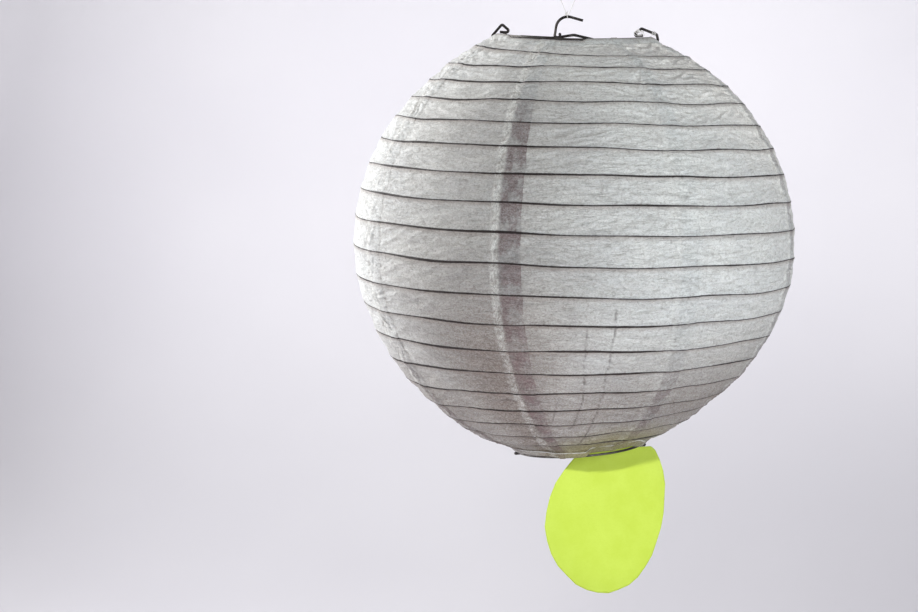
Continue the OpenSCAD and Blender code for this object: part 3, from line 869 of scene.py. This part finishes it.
THREAD_D = 0.5 * MM
KNOT_THREAD_R = 0.24 * MM
BINDING_R = 0.17 * MM

# The route, in millimetres from the hook's bend. The second strand mirrors the first.
STRAND = [
    (0.0, -0.6, -1.2), (0.1, -1.2, -0.7), (0.2, -1.4, 0.2), (0.7, -1.3, 1.7),
    (1.9, -1.1, 4.5), (3.2, -1.0, 7.5), (4.5, -0.8, 10.5), (5.9, -0.6, 13.5),
    (7.2, -0.4, 16.5), (8.4, -0.3, 19.2), (9.4, -0.2, 21.5), (10.0, -0.1, 23.5),
    (10.2, 0.0, 25.2), (10.0, 0.0, 27.4), (9.2, 0.0, 29.5), (7.9, 0.0, 31.5),
    (6.1, 0.0, 33.2), (4.0, 0.0, 34.4), (2.0, 0.0, 35.05),
]
KNOT_AT = (-0.9, -1.3, 2.0)
ROUTE = (
    [(-0.8, -1.35, 1.6), (-0.3, -1.4, 0.3), (-0.2, -1.2, -0.7), (-0.1, -0.6, -1.2), (0.0, 0.0, -1.35)]
    + [(x, -y, z) for x, y, z in STRAND]
    + [(0.0, 0.0, 35.25)]
    + [(-x, y, z) for x, y, z in STRAND[:3:-1]]
    + [(-1.1, -1.25, 2.5)]
)


def at_hook(points):
    """Points in millimetres from the hook's bend, in the frame."""
    return np.array(points) * MM + np.array([0.0, 0.0, HOOK_Z])


def thread_loop():
    """The loop's line, and its course and length."""
    fine = smooth_path(at_hook(ROUTE), 6)
    points, faces = tube(fine, THREAD_D / 2, 8)
    piece = make_mesh("thread_loop_line", points, faces, THREAD, "hanging_thread")
    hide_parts("thread_loop")
    length = float(np.linalg.norm(np.diff(fine, axis=0), axis=1).sum())
    return piece, fine, length


def thread_knot():
    """A small overhand knot: two and a half wraps round the strands, and its two cut ends."""
    centre = at_hook([KNOT_AT])[0]
    turn = np.linspace(0, 2 * np.pi * 2.6, 70)
    coil = np.stack([0.62 * np.cos(turn), 0.55 * np.sin(turn), np.linspace(-0.55, 0.55, 70)], -1)
    tail = [(0.5, -0.3, 0.7), (0.9, -0.5, 1.2), (1.0, -0.7, 1.8)]
    other = [(-0.6, 0.1, -0.7), (-1.0, -0.2, -1.0), (-1.3, -0.5, -1.5)]
    path = np.vstack([np.array(other[::-1]), coil, np.array(tail)]) * MM + centre
    points, faces = tube(smooth_path(path, 2), KNOT_THREAD_R, 6)
    piece = make_mesh("thread_knot_wraps", points, faces, THREAD, "hanging_thread")
    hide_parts("thread_knot")
    return piece


loop, loop_path, loop_length = thread_loop()
knot = thread_knot()


def wraps(centre, lean, turns, run, loosen):
    """Untidy turns of thread round a wire at centre that rises at the angle lean.

    They wander by run along the wire, and stand off it by up to twice loosen, in mm."""
    along = np.array([math.cos(lean), 0.0, math.sin(lean)])
    out = np.array([-math.sin(lean), 0.0, math.cos(lean)])
    front = np.array([0.0, -1.0, 0.0])
    t = np.linspace(0, turns, turns * 26)
    course = run * MM * np.sin(t * 1.05) + 0.25 * MM * np.sin(t * 4.7)
    r = WIRE_R + 0.22 * MM + loosen * MM * (1 + np.sin(t * 2.3)) * (t / turns)
    return (
        centre
        + course[:, None] * along
        + (r * np.cos(2 * np.pi * t))[:, None] * out
        + (r * np.sin(2 * np.pi * t))[:, None] * front
    )


def tangle(centre):
    """Loose loops of thread that pass before and behind both legs of the hook."""
    t = np.linspace(0, 4, 130)
    turn = 2 * np.pi * t
    x = (2.7 + 0.9 * np.sin(2.1 * t)) * np.cos(turn) + 0.5 * np.sin(5.3 * t)
    y = 1.35 * np.cos(0.5 * turn + 0.6) + 0.3 * np.sin(3.1 * t)
    z = (1.7 + 0.6 * np.sin(3.3 * t + 1)) * np.sin(turn) + 0.4 * np.cos(4.1 * t)
    return centre + np.stack([x, y, z], -1) * MM


# The right ring hook: how its inner leg and its shoulder rise, and where its shoulder and
# the middle between its legs are.
LEG_LEAN, SHOULDER_LEAN = math.radians(37.6), math.radians(-21.7)
SHOULDER = np.array((AXIS_X + 53.6 * MM, 0.0, TOP_Z + 3.6 * MM))
BETWEEN_LEGS = np.array((AXIS_X + 43.8 * MM, 0.0, TOP_Z + 3.9 * MM))
LOOSE_END = [(0.6, -0.7, 0.3), (1.4, -1.0, 0.1), (2.1, -1.2, -0.6), (2.4, -1.3, -1.5)]


def thread_binding():
    """Thread wound round the right ring hook: its inner leg, its middle and its shoulder."""
    low, high = node_box("thread_binding")
    inner = wraps((low + high) / 2, LEG_LEAN, 9, 1.5, 0.16)
    inner = np.vstack([inner, inner[-1] + np.array(LOOSE_END) * MM])
    shoulder = wraps(SHOULDER, SHOULDER_LEAN, 6, 1.3, 0.3)
    points, faces = [], []
    for path in (inner, tangle(BETWEEN_LEGS), shoulder):
        more, strip = tube(path, BINDING_R, 6)
        faces += [tuple(v + len(points) for v in face) for face in strip]
        points += list(more)
    piece = make_mesh("hook_thread_wraps", points, faces, THREAD, "lantern")
    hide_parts("thread_binding")


thread_binding()

# ---- Paper tag ----

# An oval that leans, is a little egg-shaped and bows sideways, folded over the bar from
# FOLD_FROM to FOLD_TO along it. Past the fold its edge stays EDGE_BELOW under the bar.
TAG_W, TAG_H = 79.4 * MM, 113.5 * MM
TAG_LEAN = math.radians(15)
TAG_EGG = 0.08
TAG_BOW = 6.2 * MM
TAG_T = 0.3 * MM
FOLD_R = WIRE_R + 0.45 * MM
FOLD_FROM, FOLD_TO = 5 * MM, 37 * MM
FLAP_H, FLAP_BEHIND, FLAP_FREE = 12 * MM, 0.42 * MM, 4 * MM
EDGE_BELOW = 0.8 * MM
TAG_CENTRE = Vector((AXIS_X + 23.1 * MM, BAR.y, BOTTOM_Z - 45.5 * MM))
TAG_RINGS, FLAP_COLUMNS = 36, 20
SNIPS = 34


def tag_outline():
    """The oval as scissors cut it: short straight snips, none quite on the line."""
    corners = []
    for k in range(SNIPS):
        a = 2 * math.pi * k / SNIPS
        off = 1 + 0.006 * math.sin(k * 2.4) + 0.004 * math.sin(k * 5.1)
        x = TAG_W / 2 * math.cos(a) * (1 - TAG_EGG * math.sin(a)) * off + TAG_BOW * math.sin(a) ** 2
        z = TAG_H / 2 * math.sin(a) * off
        c, s = math.cos(-TAG_LEAN), math.sin(-TAG_LEAN)
        corners.append((TAG_CENTRE.x + x * c - z * s, TAG_CENTRE.z + x * s + z * c))
    points = []
    for (x0, z0), (x1, z1) in zip(corners, corners[1:] + corners[:1]):
        for t in (0.0, 0.25, 0.5, 0.75):
            points.append((x0 + (x1 - x0) * t, z0 + (z1 - z0) * t))
    return points


def bar_coords(x, z):
    """Distance along the bottom bar and drop below it, of a point in the tag's plane."""
    dx, dz = x - BAR.x, z - BAR.z
    return dx * BAR_DIR.x + dz * BAR_DIR.z, dx * BAR_DIR.z - dz * BAR_DIR.x


def from_bar(along, drop, y):
    """The point of the frame that is along the bar, below it, and y behind it."""
    x = BAR.x + along * BAR_DIR.x + drop * BAR_DIR.z
    return (x, BAR.y + y, BAR.z + along * BAR_DIR.z - drop * BAR_DIR.x)


def tag_curl(along, drop):
    """The sheet's own gentle curl, flat at the fold."""
    free = smooth(0.004, 0.05, np.array(drop))
    bow = -2.2 * MM * ((along - 0.022) / 0.04) ** 2
    wave = 0.8 * MM * math.sin(along / 0.017 + drop / 0.03)
    return float(free) * (bow + wave + 2.6 * MM * (drop / 0.1) ** 2)


def tag_edge(along):
    """How far below the bar the tag's top edge starts: past the fold it keeps clear of the ring."""
    return EDGE_BELOW * float(smooth(FOLD_TO, FOLD_TO + 3 * MM, np.array(along)))


def tag_oval():
    """The hanging oval, as rings of points round its middle."""
    outline = [bar_coords(x, z) for x, z in tag_outline()]
    outline = np.array([(along, max(drop, tag_edge(along))) for along, drop in outline])
    middle = outline.mean(axis=0)

    def sheet_point(along, drop):
        to_front = 1 - float(smooth(0.0, 9 * MM, np.array(drop)))
        return from_bar(along, drop, -FOLD_R * to_front + tag_curl(along, drop) * (1 - to_front))

    count = len(outline)
    points = []
    for share in np.arange(1, TAG_RINGS + 1) / TAG_RINGS:
        points += [sheet_point(*spot) for spot in middle + (outline - middle) * share]
    faces = [tuple(f) for f in grid_faces(TAG_RINGS, count, wrap=True)]
    faces += [(len(points), (j + 1) % count, j) for j in range(count)]
    points.append(sheet_point(*middle))
    return points, faces


def tag_tab():
    """The tab, which goes up over the bar and down behind it."""
    path = [(0.0, -FOLD_R + 0.02 * MM)]
    path += [(-FOLD_R * math.sin(a), -FOLD_R * math.cos(a)) for a in np.linspace(0.0, math.pi, 14)]
    for drop in np.linspace(0.8 * MM, FLAP_H, 12):
        back = 1 - float(smooth(0.0, 8 * MM, np.array(drop)))
        path.append((drop, FOLD_R * back + FLAP_BEHIND * (1 - back)))
    points = []
    for drop, y in path:
        for along in np.linspace(FOLD_FROM, FOLD_TO, FLAP_COLUMNS):
            ripple = 0.10 * MM * math.sin(along / 0.0042) * min(1.0, max(0.0, drop / FLAP_FREE))
            curl = tag_curl(along, drop) if drop > FLAP_FREE else 0.0
            points.append(from_bar(along, drop, y + ripple + curl))
    return points, grid_faces(len(path), FLAP_COLUMNS)


def tag_sheet():
    """The tag: its oval and its tab, which meet at the fold over the bar."""
    points, faces = tag_oval()
    tab_points, tab_faces = tag_tab()
    faces += [tuple(int(v) + len(points) for v in f) for f in tab_faces]
    points += tab_points
    piece = make_mesh("tag_card_sheet", points, faces, TAG_CARD, "tag")
    thicken = piece.modifiers.new("thickness", "SOLIDIFY")
    thicken.thickness = TAG_T
    thicken.offset = 0
    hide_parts("paper_tag")


tag_sheet()

# ---- Stage, lights and camera ----

FLOOR_Z = CAD_BOX[0][2] - 0.55
WALL_Y, WALL_TOP, WALL_BEND = 2.6, 4.0, 0.9
FLOOR_FRONT, HALF_WIDTH = -4.0, 6.0
GLOW_FLOOR, GLOW_WALL, GLOW_RISE = 0.02, 0.39, 0.7
ROOM_LIGHT, ROOM_SEEN = 0.11, 0.8

# Each lamp's azimuth, elevation and distance, and its power in watts.
KEY_PLACE, KEY_W = (-60, 9, 2.2), 50
SIDE_PLACE, SIDE_W = (158, 15, 1.9), 97
TAG_LAMP_PLACE, TAG_LAMP_W = (-114, 21, 2.2), 195
TAG_LAMP_CONE = math.radians(4.6)

LENS_MM, SENSOR_MM = 85.0, 36.0
CAMERA_BACK = 1.477
CAMERA_UP = 0.107
CAMERA_YAW = math.radians(3.02)
CAMERA_PITCH = math.radians(5.82)


def stage():
    """A pale floor that sweeps up into a pale wall, which glows a little."""
    line = [(FLOOR_FRONT, FLOOR_Z), (WALL_Y - WALL_BEND, FLOOR_Z)]
    for a in np.linspace(0, math.pi / 2, 17)[1:]:
        y = WALL_Y - WALL_BEND * (1 - math.sin(a))
        line.append((y, FLOOR_Z + WALL_BEND * (1 - math.cos(a))))
    line.append((WALL_Y, WALL_TOP))
    points = [(x, y, z) for y, z in line for x in (-HALF_WIDTH, HALF_WIDTH)]
    faces = [(2 * i, 2 * i + 1, 2 * i + 3, 2 * i + 2) for i in range(len(line) - 1)]
    mesh = bpy.data.meshes.new("backdrop")
    mesh.from_pydata(points, [], faces)
    mesh.polygons.foreach_set("use_smooth", [True] * len(faces))
    n = Nodes("backdrop")
    tone = n.noise(n.coords(), 1.1, 3, 0.5)
    colour = n.mix(n.remap(tone, 0.3, 0.7), rgb(214, 211, 217), rgb(222, 219, 224))
    height = n.add("SeparateXYZ", {"Vector": n.add("NewGeometry").outputs["Position"]}).outputs[2]
    glow = n.remap(height, FLOOR_Z, FLOOR_Z + GLOW_RISE, GLOW_FLOOR, GLOW_WALL)
    inputs = {"Base Color": colour, "Emission Color": colour, "Emission Strength": glow}
    surface = n.add("BsdfPrincipled", inputs)
    surface.inputs["Roughness"].default_value = 0.9
    n.link(surface.outputs[0], n.out.inputs["Surface"])
    mesh.materials.append(n.material)
    ob = bpy.data.objects.new("backdrop", mesh)
    bpy.context.scene.collection.objects.link(ob)


def aimed_light(name, kind, target, bearing, power, colour):
    """A lamp that looks at target from an azimuth, an elevation and a distance."""
    light = bpy.data.lights.new(name, kind)
    light.energy = power
    light.color = colour
    azimuth, elevation, distance = math.radians(bearing[0]), math.radians(bearing[1]), bearing[2]
    level = math.cos(elevation)
    out = (level * math.cos(azimuth), level * math.sin(azimuth), math.sin(elevation))
    ob = bpy.data.objects.new(name, light)
    ob.location = Vector(target) + distance * Vector(out)
    ob.rotation_euler = (Vector(target) - ob.location).to_track_quat("-Z", "Y").to_euler()
    bpy.context.scene.collection.objects.link(ob)
    return light


def lights():
    """Two soft panels, a narrow lamp on the tag alone, and the dim room."""
    centre = (AXIS_X, 0, WIDEST_Z)
    key = aimed_light("key_right", "AREA", centre, KEY_PLACE, KEY_W, (0.93, 0.99, 1.0))
    side = aimed_light("window_left", "AREA", centre, SIDE_PLACE, SIDE_W, (0.99, 1.0, 0.99))
    for panel, width, height in ((key, 0.6, 0.6), (side, 1.1, 1.4)):
        panel.shape = "RECTANGLE"
        panel.size, panel.size_y = width, height
    white = (1.0, 1.0, 1.0)
    spot = aimed_light("tag_light", "SPOT", TAG_CENTRE, TAG_LAMP_PLACE, TAG_LAMP_W, white)
    spot.spot_size = TAG_LAMP_CONE
    spot.spot_blend = 0.3
    spot.shadow_soft_size = 0.05
    bpy.context.scene.world = studio()


def studio():
    """The room round the stage: it looks pale to the camera, and gives only a little light."""
    world = bpy.data.worlds.new("studio")
    world.use_nodes = True
    tree = world.node_tree
    dim, out = tree.nodes["Background"], tree.nodes["World Output"]
    pale = tree.nodes.new("ShaderNodeBackground")
    for node, strength in ((dim, ROOM_LIGHT), (pale, ROOM_SEEN)):
        node.inputs[0].default_value = (0.80, 0.78, 0.82, 1)
        node.inputs[1].default_value = strength
    seen = tree.nodes.new("ShaderNodeLightPath").outputs["Is Camera Ray"]
    mix = tree.nodes.new("ShaderNodeMixShader")
    tree.links.new(seen, mix.inputs[0])
    tree.links.new(dim.outputs[0], mix.inputs[1])
    tree.links.new(pale.outputs[0], mix.inputs[2])
    tree.links.new(mix.outputs[0], out.inputs[0])
    return world


def camera():
    """The photograph's view: a little above the widest turn, and turned a little left."""
    data = bpy.data.cameras.new("camera")
    data.lens, data.sensor_width = LENS_MM, SENSOR_MM
    ob = bpy.data.objects.new("camera", data)
    ob.location = (AXIS_X, -CAMERA_BACK, WIDEST_Z + CAMERA_UP)
    ob.rotation_euler = (math.pi / 2 - CAMERA_PITCH, 0, CAMERA_YAW)
    bpy.context.scene.collection.objects.link(ob)
    bpy.context.scene.camera = ob


camera()
stage()
lights()
bpy.context.scene.view_settings.view_transform = "Standard"
